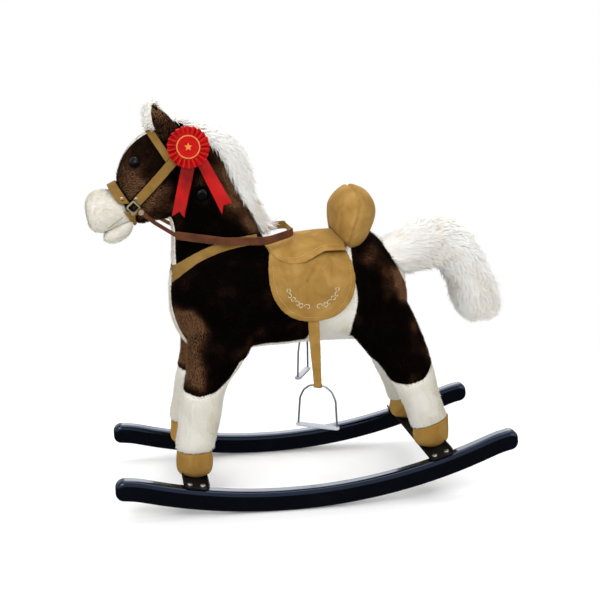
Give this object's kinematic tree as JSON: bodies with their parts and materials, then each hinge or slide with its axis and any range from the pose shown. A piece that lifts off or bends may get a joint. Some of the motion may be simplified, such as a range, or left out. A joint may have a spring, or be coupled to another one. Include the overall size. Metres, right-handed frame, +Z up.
{
  "type": "plush rocking horse",
  "caption": "Stuffed plush pony with saddle, bridle, hanging stirrups and rosette, standing on two curved wooden rockers joined by steel crossbars.",
  "frame": {"origin": "on the floor, under the middle of the outline box", "axes": "+X from nose to tail, so the horse faces -X; +Y from its left to its right; +Z up"},
  "size_m": [0.7326, 0.306, 0.68],
  "materials": {
    "rocker_lacquer": "black gloss lacquer",
    "black_steel": "black paint",
    "zinc_steel": "zinc plated",
    "plywood": "bare",
    "brown_plush": "short pile plush",
    "white_plush": "plush, long pile on mane and tail",
    "tan_suede": "faux suede",
    "brown_leather": "smooth",
    "bright_steel": "polished",
    "grey_plastic": "satin",
    "black_plastic": "gloss",
    "red_satin": "satin",
    "red_felt": "felt"
  },
  "bodies": {
    "horse": {"left_rocker": "rocker_lacquer", "right_rocker": "rocker_lacquer", "front_crossbar": "black_steel", "rear_crossbar": "black_steel", "front_leg_frame": "black_steel", "rear_leg_frame": "black_steel", "neck_post": "black_steel", "crossbar_screws": "zinc_steel", "hoof_bolts": "zinc_steel", "hoof_washers": "zinc_steel", "spine_bolts": "zinc_steel", "spine_board": "plywood", "body": "brown_plush", "neck": "brown_plush", "head": "brown_plush", "left_fore_leg": "brown_plush", "right_fore_leg": "brown_plush", "left_hind_leg": "brown_plush", "right_hind_leg": "brown_plush", "left_ear": "brown_plush", "right_ear": "brown_plush", "muzzle": "white_plush", "lower_lip": "white_plush", "mane": "white_plush", "forelock": "white_plush", "tail": "white_plush", "left_fore_hoof": "tan_suede", "right_fore_hoof": "tan_suede", "left_hind_hoof": "tan_suede", "right_hind_hoof": "tan_suede", "saddle_seat": "tan_suede", "left_saddle_flap": "tan_suede", "right_saddle_flap": "tan_suede", "cantle": "tan_suede", "noseband": "tan_suede", "jaw_strap": "tan_suede", "cheek_straps": "tan_suede", "browband": "tan_suede", "breast_collar": "tan_suede", "bit_rings": "bright_steel", "bridle_rivets": "bright_steel", "rein_studs": "bright_steel", "strap_rivets": "bright_steel", "eyes": "black_plastic", "sound_unit": "black_plastic", "rosette_ruffle": "red_satin", "rosette_disc": "red_satin", "rosette_ribbons": "red_satin", "rosette_pad": "red_felt"},
    "left_strap": {"left_stirrup_strap": "tan_suede"},
    "left_iron": {"left_stirrup_iron": "bright_steel", "left_stirrup_tread": "grey_plastic"},
    "right_strap": {"right_stirrup_strap": "tan_suede"},
    "right_iron": {"right_stirrup_iron": "bright_steel", "right_stirrup_tread": "grey_plastic"},
    "reins": {"reins": "brown_leather"},
    "neck_button": {"neck_button": "black_plastic"}
  },
  "joints": [
    {"name": "left_strap_swing", "type": "hinge", "parent": "horse", "child": "left_strap", "pos_m": [0, -0.1006, 0.336], "axis": [0, 1, 0], "range_deg": [-30, 30]},
    {"name": "left_iron_swing", "type": "hinge", "parent": "left_strap", "child": "left_iron", "pos_m": [0.009, -0.1006, 0.203], "axis": [0.866, -0.5, 0], "range_deg": [-60, 60]},
    {"name": "right_strap_swing", "type": "hinge", "parent": "horse", "child": "right_strap", "pos_m": [0, 0.1006, 0.336], "axis": [0, 1, 0], "range_deg": [-20, 30]},
    {"name": "right_iron_swing", "type": "hinge", "parent": "right_strap", "child": "right_iron", "pos_m": [0.02, 0.1006, 0.238], "axis": [0.4384, 0.8988, 0], "range_deg": [-35, 60]},
    {"name": "rein_lift", "type": "hinge", "parent": "horse", "child": "reins", "pos_m": [-0.277, 0, 0.499], "axis": [0, -1, 0], "range_deg": [0, 22]},
    {"name": "button_press", "type": "slide", "parent": "horse", "child": "neck_button", "axis": [0, 1, 0], "range_m": [0, 0.0025], "stiffness_N_per_m": 400}
  ]
}
